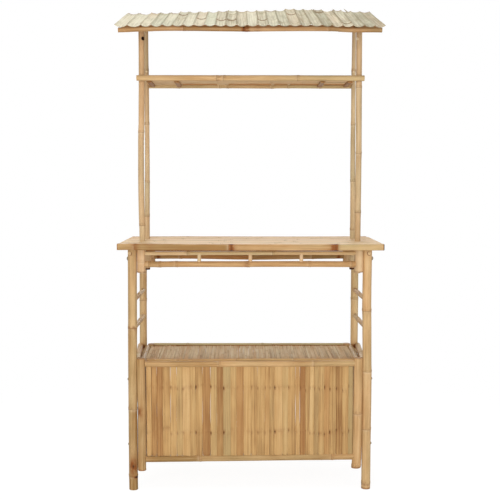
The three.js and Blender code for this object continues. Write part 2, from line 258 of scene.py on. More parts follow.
def culm(piece, start, end, radius, tip=None, nodes=(), ends=HOLLOW, flat=None, bow=(0, 0, 0), tone=0.0,
         warmth=0.0, marks=(), wander=1.0, swell=1.0, blotch=0.5, spread=0.09, facets=24, looks=(),
         course=(), pits=()):
    """A pole of bamboo. nodes are places along its main direction.

    marks are stains, and some of them painted shade: (place, reach, strength), and a direction where only
    one side of the pole has it.
    course is an axis and how far the pole's line strays along it: pairs of a place and a distance. looks
    gives each internode's tone and warmth. flat, a pair of half sizes, makes a rail that was planed on four
    sides. pits are drilled holes: (place, direction that it faces, radius, depth)."""
    start, length, along, first, second = axes(start, end)
    main = int(np.argmax(np.abs(along)))

    def distance(place):
        """From the pole's start to a place along its main direction."""
        return (place - start[main]) / along[main]

    dice = piece.dice
    nodes = [distance(node) for node in nodes]
    s = stations(length, nodes, NODE_OFFSETS, 36)
    for place, _, wide, _ in pits:
        s = np.union1d(s, distance(place) + np.arange(-wide - 3, wide + 3.1, 0.75))
    for mark in marks:
        near = distance(mark[0]) + mark[1] * MARK_OFFSETS
        s = np.union1d(s, near[(near > 1) & (near < length - 1)].round(3))
    number, tones, warmths = internodes(piece, nodes, s, spread, looks)
    tip = radius if tip is None else tip

    # Radius along the pole, with the scar, groove and ridge of each node
    share = s / length
    base = radius + (tip - radius) * share
    form = 0.12 * np.sin(s / 61 + dice.uniform(0, 6)) + 0.08 * np.sin(s / 23 + dice.uniform(0, 6))
    scar, bloom, spots = np.zeros((3, len(s)))
    size = (0.55 + radius / 42) * swell
    for node in nodes:
        away = s - node
        force = size * dice.uniform(0.8, 1.2)
        form += force * (0.55 * bell(away, 0, 0.9) - 0.35 * bell(away, 2.2, 1.0))
        form += force * (0.85 * bell(away, 5.5, 2.6) + 0.6 * bell(away, 2, 12))
        scar += dice.uniform(0.6, 1.0) * bell(away, 0.4, 1.2) + 0.35 * bell(away, 7.5, 1.3)
        bloom += dice.uniform(0.1, 0.45) * bell(away, -5, 4.5)
        spots += blotch * dice.uniform(0.5, 1.3) * bell(away, 1, dice.uniform(10, 20))
    ease = np.where((s < 0.25) | (s > length - 0.25), 0.5, 0.0)

    # Axis: a slight zigzag from node to node, a bow and a course
    knots = np.array([0, *sorted(nodes), length])
    shift = dice.normal(0, 0.55, (len(knots), 2)) * wander
    shift[0] = shift[-1] = 0
    centre = start + along * s[:, None]
    for axis, shifts in ((first, shift[:, 0]), (second, shift[:, 1])):
        centre = centre + axis * np.interp(s, knots, shifts)[:, None]
    centre = centre + np.array(bow, float) * np.sin(math.pi * share)[:, None]
    if course:
        way, *stops = course
        stops = sorted((distance(place), stray) for place, stray in stops)
        strays = np.interp(s, *zip(*stops))
        centre[:, way] += np.convolve(np.pad(strays, 3, mode="edge"), np.ones(7) / 7, "valid")

    # Section: nearly round, or flattened
    turn = np.linspace(0, 2 * math.pi, facets, endpoint=False)
    round_x = np.cos(turn)
    round_y = np.sin(turn)
    oval = 1 + 0.011 * np.cos(2 * turn + dice.uniform(0, 6)) + 0.005 * np.cos(3 * turn + dice.uniform(0, 6))
    if flat:
        round_x, round_y = (np.sign(part) * np.abs(part) ** SQUARE_POWER for part in (round_x, round_y))
    groove = np.zeros((len(s), facets))
    side = dice.uniform(0, 6)
    for node in sorted(nodes):
        away = s - node
        fade = np.where(away > 0, np.exp(-away / 90) * (1 - np.exp(-away / 7)), 0)
        groove += 0.055 * radius * fade[:, None] * bell(wrapped(turn - side), 0, 0.42)[None, :]
        side += math.pi + dice.normal(0, 0.2)

    def apart_from(toward):
        """The angle round the pole between each facet and a direction."""
        return wrapped(turn - math.atan2(np.dot(toward, second), np.dot(toward, first)))

    # Where a drilled hole is sunk in, its inside is painted dark, near black through the stain value, as
    # shade
    sunk = np.zeros_like(groove)
    for place, toward, wide, depth in pits:
        away = np.hypot((s - distance(place))[:, None], radius * apart_from(toward)[None, :])
        sunk = np.maximum(sunk, np.clip((wide + 1 - away) / 0.8, 0, 1))
        groove += depth * np.clip((wide - away) / 0.8, 0, 1)
    if flat:
        half_x, half_y = (half + form[:, None] * 0.3 - ease[:, None] + 0 * groove for half in flat)
    else:
        half_x = half_y = (base + form - ease)[:, None] * oval - groove
    across = half_x * round_x
    upward = half_y * round_y
    places = centre[:, None, :] + first * across[..., None] + second * upward[..., None]

    # What the materials read
    grain = piece.fibres(across, upward, s * MM + number * NODE_SHIFT)
    look = np.zeros((len(s), facets, 3))
    look[..., 0] = (tone + tones)[:, None] - 0.9 * sunk
    look[..., 1] = (warmth + warmths)[:, None]
    look[..., 2] = 2 * sunk
    for place, width, force, *toward in marks:
        column = bell(apart_from(toward[0]), 0, 0.8) if toward else np.ones(facets)
        look[..., 2] += force * bell(s, distance(place), width)[:, None] * column
    ring = np.stack([scar, bloom, spots], -1)[:, None, :]
    sides = SKIN
    if flat:
        planed = np.minimum(round_y, np.roll(round_y, -1)) > 0.9
        sides = np.where(planed, FLESH, SKIN)
    at = piece.grid(places, grain, look, ring, sides)

    # Ends: a hollow one shows its wall and the next diaphragm, a solid one is flat
    wall = 1.3 + 0.14 * radius
    for kind, row, inward in ((ends[0], 0, 1), (ends[1], len(s) - 1, -1)):
        if kind != "hollow":
            piece.cap(at + row * facets, facets, FLESH)
            continue
        middle = centre[row]
        rows = [(0, 0.0), (0, wall), (0.6, wall + 0.5), (8, wall + 0.4), (22, wall + 0.8)]
        tube = []
        for depth, thin in rows:
            x = np.maximum(half_x[row] - thin, 1) * round_x
            y = np.maximum(half_y[row] - thin, 1) * round_y
            ring_places = first * x[:, None] + second * y[:, None]
            tube.append(middle + along * depth * inward + ring_places)
        tube = np.array(tube)
        local = tube - start
        marks_end = np.stack([local @ first, local @ second, local @ along], -1) * MM + grain[row, 0]
        # Deeper into the hollow the wall, and the diaphragm at its bottom, are painted darker and browner,
        # as shade
        dark = np.array([0, 0, 0.25, 0.5, 0.7])[:, None]
        look_end = np.stack([0.1 - dark, 0 * dark, dark * 0.6], -1)
        ring_at = piece.grid(tube, marks_end, look_end, (0, 0, 0), FLESH)
        last = ring_at + (len(rows) - 1) * facets
        deep = middle + along * 24 * inward
        hub = piece.add(deep[None], grain[row, 0], (-0.4, 0, 0.4), (0, 0, 0))
        piece.fan(last, facets, hub, FLESH)


def turned(piece, start, direction, rows, kind=SKIN, look=(0, 0, 0), facets=16):
    """A small turned piece: rows are (distance, radius). A first or last radius of 0 closes it."""
    start, _, along, first, second = axes(start, np.add(start, direction))
    turn = np.linspace(0, 2 * math.pi, facets, endpoint=False)
    rim = first * np.cos(turn)[:, None] + second * np.sin(turn)[:, None]
    inner = [row for row in rows if row[1] > 0]
    places = np.array([start + along * distance + rim * radius for distance, radius in inner])
    local = places - start
    seed = piece.dice.uniform(0, 40, 3)
    grain = np.stack([local @ first, local @ second, local @ along], -1) * MM + seed
    at = piece.grid(places, grain, look, (0, 0, 0), kind)
    for row, ring_row in ((0, 0), (-1, len(inner) - 1)):
        if rows[row][1] == 0:
            hub = piece.add((start + along * rows[row][0])[None], seed, look, (0, 0, 0))
            piece.fan(at + ring_row * facets, facets, hub, kind)


def slat(piece, start, end, width, thickness, face, nodes=(), crown=1.2, tone=0.0, warmth=0.0, stain=0.0,
         narrow=0.0, ragged=(0.0, 0.0), blotch=0.4, kinds=(SKIN, FLESH), pitch=34, spread=0.05, scars=1.0,
         nicks=(0.0, 0.0), notch=0.0, stretch=NODE_SHIFT, lens=0.0, fade=0.0):
    """A split strip: its skin, slightly crowned, looks along face, and its start and end lie in its back.

    nodes are distances from start. Between them the strip is narrower by narrow. nicks are the depths of
    the splits in its two edges beside the nodes, and its start is narrower by notch. ragged says how uneven
    its two ends are. stretch moves the grain on at a node, lens is how dark one edge is there, and fade is
    how dark and brown its start is, partly painted shade of a lath over it, and how pale its end is."""
    start, length, along, across, out = axes(start, end, face)
    dice = piece.dice
    s = stations(length, nodes, SLAT_OFFSETS, pitch, (0.6,))
    if notch:
        s = np.union1d(s, (4, 8, 12))
    number, tones, warmths = internodes(piece, nodes, s, spread)
    near, form, scar, spots, split = np.zeros((5, len(s)))
    for node in nodes:
        away = s - node
        near = np.maximum(near, bell(away, 0, 42))
        split += bell(away, -4, 6)
        form += 0.5 * bell(away, 0, 1.3) - 0.3 * bell(away, 2.4, 1.2) + 0.7 * bell(away, 5, 3)
        scar += scars * (dice.uniform(0.5, 1.0) * bell(away, 0.4, 1.5) + 0.3 * bell(away, 7, 1.6))
        spots += blotch * dice.uniform(0.4, 1.3) * bell(away, 0, 13)
    half = width / 2 - narrow / 2 * (1 - near) - 0.25 * np.abs(np.sin(s / 37 + dice.uniform(0, 6)))
    half = half - notch / 2 * bell(s, 0, 8)
    # Points of its section: across, back or skin, lift
    shapes = ((-1, 0, 0.5), (-1, 1, -0.9), (-0.93, 1, 0), (-0.5, 1, 0.75), (0, 1, 1), (0.5, 1, 0.75),
              (0.93, 1, 0), (1, 1, -0.9), (1, 0, 0.5))
    columns = []
    sway = 0.3 * np.sin(s / 90 + dice.uniform(0, 6))
    for where, top, lift in shapes:
        rise = top * (thickness + form) + (crown * lift if top and lift > 0 else lift)
        nick = nicks[0] if where < 0 else nicks[1]
        x = where * (half - nick * split * (abs(where) > 0.9)) + sway
        columns.append(np.stack([x, rise], -1))
    section = np.stack(columns, 1)
    lengthwise = np.broadcast_to(s[:, None], section.shape[:2]).copy()
    for row, amount in ((0, ragged[0]), (-1, ragged[1])):
        lengthwise[row] += amount * dice.uniform(-1, 1, len(shapes))
    places = start + across * section[..., :1] + out * section[..., 1:] + along * lengthwise[..., None]
    grain = piece.fibres(section[..., 0], section[..., 1], s * MM + number * stretch)
    look = np.stack([tone + tones, warmth + warmths, np.full_like(s, stain)], -1)
    look = np.repeat(look[:, None, :], len(shapes), 1)
    for node in nodes if lens else ():
        look[:, -3:, 2] += lens * bell(s, node - 2, 6.5)[:, None]
    near_start = bell(s, 0, 80)[:, None]
    near_end = bell(s, length, 130)[:, None]
    # The darker, browner start is partly painted shade of a lath lying over it; the end is paler
    look[..., 0] += fade * (0.7 * near_end - near_start)
    look[..., 1] += fade * (0.6 * near_end + 1.6 * near_start)
    ring = np.stack([scar, 0 * scar, spots], -1)[:, None, :]
    skin, flesh = kinds
    sides = [flesh] + [skin] * 6 + [flesh] * 2
    at = piece.grid(places, grain, look, ring, sides)
    piece.cap(at, len(shapes), flesh)
    piece.cap(at + (len(s) - 1) * len(shapes), len(shapes), flesh)


class Shader:
    """Short words for the nodes of a material or of the world."""

    def __init__(self, owner):
        owner.use_nodes = True
        self.owner = owner
        self.tree = owner.node_tree
        self.surface = self.tree.nodes.get("Principled BSDF")

    def node(self, kind, inputs=(), **settings):
        made = self.tree.nodes.new(kind)
        for key, value in settings.items():
            setattr(made, key, value)
        for key, value in dict(inputs).items():
            self.put(made.inputs[key], value)
        return made

    def put(self, socket, value):
        if isinstance(value, bpy.types.NodeSocket):
            self.tree.links.new(value, socket)
        else:
            socket.default_value = value

    def paint(self, **inputs):
        """Values for the surface's own sockets, with _ for each space in a name."""
        for name, value in inputs.items():
            self.put(self.surface.inputs[name.replace("_", " ")], value)

    def math(self, operation, first, second=0.0, clamp=False):
        made = self.node("ShaderNodeMath", {0: first, 1: second}, operation=operation, use_clamp=clamp)
        return made.outputs[0]

    def times(self, first, second, clamp=False):
        return self.math("MULTIPLY", first, second, clamp)

    def total(self, value, *terms):
        for term in terms:
            value = self.math("ADD", value, term)
        return value

    def spread(self, value, strength):
        """A noise value about 0.5, turned into one about 0."""
        return self.times(self.math("SUBTRACT", value, 0.5), strength)

    def attribute(self, name):
        return self.node("ShaderNodeAttribute", attribute_name=name).outputs["Vector"]

    def parts(self, name):
        return self.node("ShaderNodeSeparateXYZ", {0: self.attribute(name)}).outputs

    def noise(self, place, scales, detail=2.0, roughness=0.5):
        scaled = self.node("ShaderNodeVectorMath", {0: place, 1: scales}, operation="MULTIPLY").outputs[0]
        inputs = {"Vector": scaled, "Scale": 1.0, "Detail": detail, "Roughness": roughness}
        return self.node("ShaderNodeTexNoise", inputs).outputs[0]

    def step(self, value, low, high):
        inputs = {0: value, 1: low, 2: high, 3: 0.0, 4: 1.0}
        return self.node("ShaderNodeMapRange", inputs, interpolation_type="SMOOTHSTEP").outputs[0]

    def ramp(self, value, stops):
        made = self.node("ShaderNodeValToRGB", {0: value})
        points = made.color_ramp.elements
        points[0].position, points[0].color = stops[0]
        points[1].position, points[1].color = stops[-1]
        for place, colour in stops[1:-1]:
            points.new(place).color = colour
        return made.outputs[0]

    def bump(self, height, strength, distance):
        inputs = {"Height": height, "Strength": strength, "Distance": distance}
        self.paint(Normal=self.node("ShaderNodeBump", inputs).outputs[0])


def bamboo(name, dark, middle, light, warm=(205, 146, 92), cool=(196, 180, 140), streaks=0.75, patches=0.6,
           fibres=0.5, roughness=0.46, specks=0.35, brown=(126, 82, 50), gleam=0.35, drifts=0.8):
    """Bamboo's surface: long fibres, streaks and patches over a base tone, and the marks at its nodes."""
    s = Shader(bpy.data.materials.new(name))
    place = s.attribute("grain")
    tone, warmth, stain = s.parts("look")
    scar, bloom, blotch = s.parts("ring")
    fine = s.noise(place, (900, 900, 9), 3.0)
    wide = s.noise(place, (170, 170, 3.5), 3.0)
    broad = s.noise(place, (16, 16, 7))
    mottle = s.noise(place, (90, 90, 34), 3.0, 0.6)
    speck = s.noise(place, (330, 330, 120))

    value = s.total(s.math("ADD", tone, 0.5), s.spread(fine, fibres), s.spread(wide, streaks),
                    s.spread(broad, patches))
    colour = s.ramp(value, [(0.0, srgb(*dark)), (0.5, srgb(*middle)), (1.0, srgb(*light))])
    drift = s.total(warmth, s.spread(s.noise(place, (24, 24, 5)), drifts))
    spots = s.times(blotch, s.step(mottle, 0.42, 0.66), True)
    # Colours laid over it, and the share of each
    layers = (
        (warm, s.times(drift, 1.0, True)),
        (cool, s.times(drift, -1.0, True)),
        (brown, s.times(s.step(speck, 0.64, 0.76), specks)),
        (BLOTCH_BROWN, s.times(spots, 0.75)),
        (BLOOM_PALE, s.times(bloom, 0.55, True)),
        # Stains, and the painted shade that uses the same value, in brown and at their strongest in black
        (brown, s.times(stain, s.step(mottle, 0.1, 0.62), True)),
        (SCAR_BROWN, s.times(scar, 0.62, True)),
        (STAIN_AND_SHADE_BLACK, s.step(stain, 1.4, 1.9)),
    )
    for over, share in layers:
        mixed = s.node("ShaderNodeMix", {0: share}, data_type="RGBA")
        s.put(mixed.inputs[6], colour)
        s.put(mixed.inputs[7], srgb(*over))
        colour = mixed.outputs[2]

    gloss = s.total(s.spread(broad, 0.22), s.spread(fine, 0.16), s.times(blotch, 0.12))
    s.paint(Base_Color=colour, Roughness=s.math("ADD", gloss, roughness, True), Specular_IOR_Level=gleam)
    height = s.total(s.times(fine, 0.5), s.times(wide, 0.7), s.times(s.times(blotch, mottle), 0.8))
    s.bump(height, 0.45, 0.0006)
    return s.owner


def metal(name, colour, roughness):
    s = Shader(bpy.data.materials.new(name))
    wear = s.noise(s.attribute("grain"), (300, 300, 300), 3.0)
    s.paint(Base_Color=s.ramp(wear, [(0.3, srgb(*colour)), (0.7, srgb(150, 140, 126))]), Metallic=0.9,
            Roughness=s.math("ADD", s.spread(wear, 0.4), roughness))
    s.bump(wear, 0.2, 0.0003)
    return s.owner


def add_camera():
    data = bpy.data.cameras.new("camera")
    data.lens = CAMERA_LENS
    data.sensor_width = CAMERA_SENSOR
    camera = add_object("camera", data)
    camera.location = CAMERA_PLACE
    camera.rotation_euler = (math.pi / 2 - CAMERA_PITCH, 0, CAMERA_TURN)
    bpy.context.scene.camera = camera


def add_lamp(name, place, target, size, power):
    data = bpy.data.lights.new(name, "AREA")
    data.shape = "SQUARE"
    data.size = size
    data.energy = power
    lamp = add_object(name, data)
    lamp.location = place
    lamp.rotation_euler = (Vector(target) - Vector(place)).to_track_quat("-Z", "Y").to_euler()


def add_world():
    """A white backdrop that lights the object less than it shows."""
    world = bpy.data.worlds.new("world")
    s = Shader(world)
    seen = s.node("ShaderNodeLightPath").outputs
    either = s.math("MAXIMUM", seen["Is Glossy Ray"], seen["Is Transmission Ray"])
    direct = s.math("MAXIMUM", seen["Is Camera Ray"], either)
    sky = s.tree.nodes["Background"]
    sky.inputs["Color"].default_value = (1, 1, 1, 1)
    s.put(sky.inputs["Strength"], s.total(s.times(direct, 1 - WORLD_LIGHT), WORLD_LIGHT))
    bpy.context.scene.world = world
    bpy.context.scene.view_settings.view_transform = "Standard"


def add_floor():
    """A white floor that keeps a part of the shadow, and fades into the white backdrop further away."""
    half = 8
    corners = [(-half, -half, 0), (half, -half, 0), (half, half, 0), (-half, half, 0)]
    mesh = bpy.data.meshes.new("floor")
    mesh.from_pydata(corners, [], [(0, 1, 2, 3)])
    s = Shader(bpy.data.materials.new("floor_white"))
    s.paint(Base_Color=srgb(236, 236, 236), Roughness=0.9, Specular_IOR_Level=0.0)
    glow = s.node("ShaderNodeEmission", {"Color": (1, 1, 1, 1), "Strength": 1.12}).outputs[0]
    clear = s.node("ShaderNodeBsdfTransparent").outputs[0]
    seen = s.node("ShaderNodeLightPath").outputs["Is Camera Ray"]
    place = s.node("ShaderNodeNewGeometry").outputs["Position"]
    away = s.node("ShaderNodeVectorMath", {0: place}, operation="LENGTH").outputs["Value"]
    shine = s.surface.outputs[0]
    for share, over in ((s.times(seen, 0.82), glow), (s.times(s.step(away, 0.9, 2.2), seen), clear)):
        shine = s.node("ShaderNodeMixShader", {0: share, 1: shine, 2: over}).outputs[0]
    s.put(s.tree.nodes["Material Output"].inputs["Surface"], shine)
    mesh.materials.append(s.owner)
    add_object("floor", mesh)


POLE = bamboo("pole_skin", (150, 114, 66), (208, 172, 124), (228, 201, 156), cool=(190, 174, 128),
              roughness=0.52, brown=(136, 80, 38), gleam=0.14)
UPPER = bamboo("upper_skin", (153, 119, 76), (208, 174, 132), (230, 205, 164), cool=(194, 182, 144),
               roughness=0.52, brown=(136, 80, 38), gleam=0.14)
FLESH_PALE = bamboo("pole_flesh", (170, 132, 84), (221, 192, 146), (238, 220, 184), streaks=0.5,
                    patches=0.4, fibres=0.9, roughness=0.75, specks=0.2)
PALE = bamboo("pale_skin", (172, 134, 90), (219, 186, 144), (236, 212, 176), warm=(212, 160, 112),
              gleam=0.16)
COUNTER = bamboo("counter_skin", (168, 128, 82), (218, 184, 138), (236, 210, 170), warm=(210, 154, 100),
                 roughness=0.6, gleam=0.15)
SLAT = bamboo("slat_skin", (138, 98, 58), (194, 154, 101), (218, 184, 132), warm=(168, 118, 72),
              cool=(176, 156, 112), streaks=1.1, gleam=0.08, drifts=0.5)
GREY = bamboo("top_skin", (150, 122, 84), (200, 174, 136), (222, 202, 164), warm=(196, 152, 104),
              cool=(188, 176, 148), streaks=1.1, fibres=0.8, roughness=0.7, gleam=0.1)
CANE_SKIN = bamboo("cane_skin", (138, 98, 60), (190, 150, 104), (214, 184, 140), warm=(170, 108, 74))
CANE_INSIDE = bamboo("cane_inside", (150, 138, 110), (213, 206, 181), (232, 227, 208), warm=(206, 180, 150),
                     cool=(196, 200, 176), streaks=0.9, fibres=0.8, roughness=0.8, specks=0.5)
STEEL = metal("bolt_steel", (114, 100, 74), 0.42)

# Each piece's materials: its skin's and its flesh's
POLES, UPPERS, PALES, COUNTERS, SLATS = ((skin, FLESH_PALE) for skin in (POLE, UPPER, PALE, COUNTER, SLAT))
GREYS = (GREY, GREY)

# Outlines of turned things: distances from where they begin, and radii there
DISC_SHADE_RING = ((-5, 9.6), (0.5, 9.6), (0.7, 9.2), (0.7, 0))
DISC = ((-5, 7.9), (1.5, 7.8), (2.2, 7.0), (2.1, 3.0), (2.0, 0))
PEG = ((-6, 4.4), (11.4, 4.4), (12.0, 3.8), (12.2, 0))
PLUG = ((-6, 6.2), (13.8, 6.2), (14.6, 5.4), (14.8, 0))
SLIVER = ((-14, 3.2), (0, 2.8), (9, 1.8), (18, 0.6), (19, 0))
BOLT_HEAD = ((-4, 8.6), (1.6, 8.8), (2.4, 8.0), (2.6, 6.0), (4.0, 5.6), (5.0, 4.0), (5.3, 1.8), (5.4, 0))


def pole(node, start, end, radius, slot="bamboo_pole", materials=POLES, **form):
    """One culm that stands for a node."""
    piece = Piece(f"{node}_culm")
    culm(piece, start, end, radius, **form)
    piece.make(slot, materials, node)


def upright(node, x, y, foot, head, radius, **form):
    pole(node, (x, y, foot), (x, y, head), radius, **form)


def level(node, half, y, z, radius, **form):
    pole(node, (-half, y, z), (half, y, z), radius, **form)


def lath(name, half, y, z, width, thickness, **form):
    """One strip from side to side that no node stands for."""
    piece = Piece(name)
    slat(piece, (-half, y, z), (half, y, z), width, thickness, UP, **form)
    piece.make("bamboo_slat", SLATS)


def strips(node):
    """The middles in y of the four strips that fill a node's box, and the distance between them."""
    low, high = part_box(node)
    pitch = (high.y - low.y) / MM / 4
    return [low.y / MM + (strip + 0.5) * pitch for strip in range(4)], pitch


def random_strips(dice, edge, total, low, high):
    """The middles and widths of strips, between low and high wide, that fill a total from an edge on."""
    widths = []
    while sum(widths) < total:
        widths.append(dice.uniform(low, high))
    for width in np.array(widths) * total / np.sum(widths):
        yield edge + width / 2, width
        edge += width


# The disc at a front leg's head: its height, and how far it faces to the outside
DISC_HEIGHT = 1037.0
DISC_LEAN = {LEFT: 0.5, RIGHT: 0.22}


def add_legs():
    # Painted shade on the front of the rear legs, where they show in the slit between the lowest rung and
    # the cabinet's side rail
    rear_stain = ((557, 10, 1.8, TO_FRONT),)
    legs = {
        "front_left": dict(
            nodes=(712, 357, 60), tone=-0.3, warmth=-0.05, blotch=1.0,
            marks=((106, 34, 1.75, (0.12, -0.99, 0)), (57, 4.6, 2.6, (0.86, -0.5, 0))),
            looks=((-0.08, -0.03), (-0.04, 0), (0.03, 0), (0.17, -0.03)),
            course=(X, (1050, 0), (700, -1), (500, -4), (300, -4.5), (0, -4))),
        "front_right": dict(
            nodes=(786, 520, 265, 24), tone=-0.08, warmth=0.05, marks=((2, 6, 0.75), (19, 2.5, 0.6)),
            course=(X, (1050, -1), (850, -3), (650, 0), (450, 2), (0, 0))),
        "rear_left": dict(nodes=(779, 380), tone=-0.06, warmth=-0.2, marks=rear_stain,
                          course=(X, (1050, 0), (600, -2.5), (0, 0))),
        "rear_right": dict(nodes=(783, 380), tone=0.14, warmth=-0.15, marks=rear_stain),
    }
    for corner, way, back in CORNERS:
        x = way * LEG_X[back]
        radius = LEG_RADIUS[back]
        piece = Piece(f"leg_{corner}_culm")
        culm(piece, (x, back * LEG_Y, 0), (x, back * LEG_Y, LEG_TOP), radius, ends=STANDING, spread=0.05,
             facets=28, **legs[corner])
        if back == FRONT:
            # The end of the side rail shows in the leg as a disc, in a hole that is a little wider, made as
            # a thin dark ring whose colour is painted shade, set a little inward and down where the shadow
            # falls
            lean = DISC_LEAN[way]
            out = np.array((way * lean, -math.sqrt(1 - lean**2), 0))
            rim = np.array((x, -LEG_Y, DISC_HEIGHT)) + out * (radius - 0.3)
            turned(piece, rim - np.array((1.2 * way, 0, 1.0)), out, DISC_SHADE_RING, FLESH, (-0.5, 0.2, 0.9))
            turned(piece, rim, out, DISC, FLESH, (-0.05, 0.1, 0))
        piece.make("bamboo_pole", POLES, f"leg_{corner}")


# Rungs at a side: height, place of the node, radius, how far the front end lies inwards and the rear end
# outwards, and how far the rear end drops. Only the lowest one does, and its inner lower side is painted
# shade, for the slit beside the side rail
RUNGS = ((829, -20, 10, 0, 0), (706, 60, 10, 0, 0), (570, -70, 12.5, 16, 9))
SIDE_RAIL_HEIGHT = 1040.2


def add_ladders():
    for side, way in SIDES:
        pole(f"side_rail_{side}", (way * LEG_X[FRONT], 12 - LEG_Y, SIDE_RAIL_HEIGHT),
             (way * LEG_X[REAR], LEG_Y - 12, SIDE_RAIL_HEIGHT), 12, nodes=(20,), tone=-0.05, ends=SOLID)
        for number, (height, node, radius, turn, drop) in enumerate(RUNGS, 1):
            piece = Piece(f"rung_{side}_{number}_culm")
            # Painted shade over the lowest rung's inner lower side, for the dark slit beside the side rail
            painted_slit_shade = ((0, 500, 2.2, (-way, 0, -0.5)),) if turn else ()
            culm(piece, (way * (LEG_X[FRONT] - turn), 14 - LEG_Y, height),
                 (way * (LEG_X[REAR] + turn), LEG_Y - 12, height - drop), radius, nodes=(node,),
                 tone=piece.dice.normal(0, 0.06), ends=SOLID, facets=20, marks=painted_slit_shade)
            piece.make("bamboo_pole", POLES, f"rung_{side}_{number}")


# The apron: half the length of its rails, and where its posts and spindles end
APRON_HALF = 454
APRON_POST_FOOT = 953.7
SPINDLE_FOOT = 992
SPINDLE_TOP = 1034


def add_apron():
    # Each rail's height, radius and form
    rails = {
        # Its one mark darkens the rail's upper rear side along its whole length: painted shade under the
        # lath and counter
        "upper_rail_front": (1036, 8.5, dict(
            nodes=(-272, 96), tone=0.05, warmth=-0.25, marks=((0, 900, 1.6, (0, 0.5, 0.86)),))),
        "lower_rail_front": (989.2, 12.9, dict(
            nodes=(-437, -392, -320, -10, 252, 437), tone=-0.2, warmth=0.2, marks=((-16, 9, 0.5),),
            looks=((0, 0), (-0.05, -0.2), (0, 0.05), (-0.02, 0.1), (0, 0), (0, 0.05), (0, 0)))),
        "upper_rail_rear": (1036, 8.5, dict(nodes=(-180, 160), tone=-0.25, warmth=0.1)),
        "lower_rail_rear": (988, 11.5, dict(
            nodes=(-330, 10, 300), tone=-0.42, warmth=0.15,
            marks=((-432, 8, 1.6), (427, 9, 1.6), (0, 150, 0.3)),
            course=(Z, (-450, 0), (-250, 0), (-40, -4), (60, -5), (230, -2), (450, 0)))),
    }
    for name, (height, radius, form) in rails.items():
        y = -LEG_Y if name.endswith("front") else LEG_Y
        level(f"apron_{name}", APRON_HALF, y, height, radius, ends=SOLID, spread=0.1, **form)
    # The distance of posts from the middle, their radius and tone, and how dark their feet are: painted
    # shade beside their open hollow feet
    posts = {FRONT: (469.5, 18.3, -0.06, 0.8), REAR: (POST_X, 18.8, -0.35, 1.0)}
    warmths = {"rear_left": 0.35, "rear_right": -0.2}
    for corner, way, back in CORNERS:
        x, radius, tone, dark = posts[back]
        upright(f"apron_post_{corner}", way * x, back * LEG_Y, APRON_POST_FOOT, LEG_TOP, radius,
                slot="pale_bamboo", materials=PALES, nodes=(1000,) if way == LEFT else (), tone=tone,
                warmth=warmths.get(corner, 0), blotch=0.2, swell=0.5, marks=((954, 5, dark),),
                ends=STANDING, facets=28)
    # A lath in the gap under the counter, its dark colour painted shade of that gap
    lath("apron_lath", 448, -201, 1045, 21, 7.4, nodes=(150, 420, 700), crown=0.2, tone=-1.3, warmth=0.6,
         stain=0.35, kinds=(SKIN, SKIN))
    for name, x in (("left", -220), ("middle", 0), ("right", 220)):
        upright(f"apron_spindle_{name}", x, -LEG_Y, SPINDLE_FOOT, SPINDLE_TOP, 8, slot="pale_bamboo",
                materials=PALES, tone=0.08, ends=SOLID, facets=20)


# The drilled hole in both front upper poles, which has a plug at the right, and the pegs in the rear ones
HOLE_HEIGHT = 1968
HOLE_WAY = {LEFT: (0.62, -0.78, 0), RIGHT: (-0.62, -0.78, 0)}
PEG_HEIGHT = 1846
PEG_X = {LEFT: -472.4, RIGHT: 479.4}


def add_upper_poles():
    poles = {
        "front_left": dict(
            nodes=(1150, 1560), pits=((HOLE_HEIGHT, HOLE_WAY[LEFT], 7.8, 6.0),), facets=72,
            course=(X, (2030, 4), (1915, 4.5), (1700, 3), (1481, -2.5), (1260, -3.5), (1130, 0), (935, 1))),
        "front_right": dict(
            nodes=(1206, 1467, 1757),
            course=(X, (2030, 0.5), (1915, 1.0), (1700, 1.7), (1481, 4), (1260, 2), (1130, 1.5), (935, 1))),
        "rear_left": dict(
            nodes=(1184, 1342, 1607, 1850), tip=9.0,
            course=(X, (2080, 3), (1915, 3.5), (1700, 5), (1481, 5.5), (1260, 3), (1130, 2), (935, 2))),
        "rear_right": dict(
            nodes=(1120, 1345, 1605, 1850), tip=8.6,
            course=(X, (2080, 5), (1915, 5), (1700, 2.8), (1481, 1), (1260, 3), (1130, 3.5), (935, 2))),
    }
    for corner, way, back in CORNERS:
        piece = Piece(f"upper_pole_{corner}_culm")
        if back == FRONT:
            x = way * UPPER_FRONT_X
            culm(piece, (x, UPPER_FRONT_Y, UPPER_FOOT), (x, UPPER_FRONT_Y, UPPER_FRONT_TOP), UPPER_RADIUS,
                 tone=-0.05, warmth=-0.1, marks=((2014, 9, 1.1, (-way, -0.5, 0)),), **poles[corner])
        else:
            culm(piece, (way * UPPER_REAR_X, UPPER_REAR_Y, UPPER_FOOT),
                 (way * UPPER_REAR_TIP_X, UPPER_REAR_Y, UPPER_REAR_TOP), UPPER_RADIUS, tone=0.03,
                 warmth=-0.25, marks=((938, 5, 2.4),), **poles[corner])
            turned(piece, (PEG_X[way], UPPER_REAR_Y, PEG_HEIGHT), (-0.1 * way, -1, 0), PEG, FLESH,
                   (0.3, 0, 0), facets=12)
        if corner == "front_right":
            turned(piece, (UPPER_FRONT_X + 0.3, UPPER_FRONT_Y, HOLE_HEIGHT), HOLE_WAY[RIGHT], PLUG, FLESH,
                   (0.25, -0.1, 0))
        piece.make("bamboo_pole", UPPERS, f"upper_pole_{corner}")


COUNTER_RAIL_HEIGHT = 1066.5
COUNTER_RAIL_FLAT = (20, 13.4)
STRIP_FOOT = 1053.4


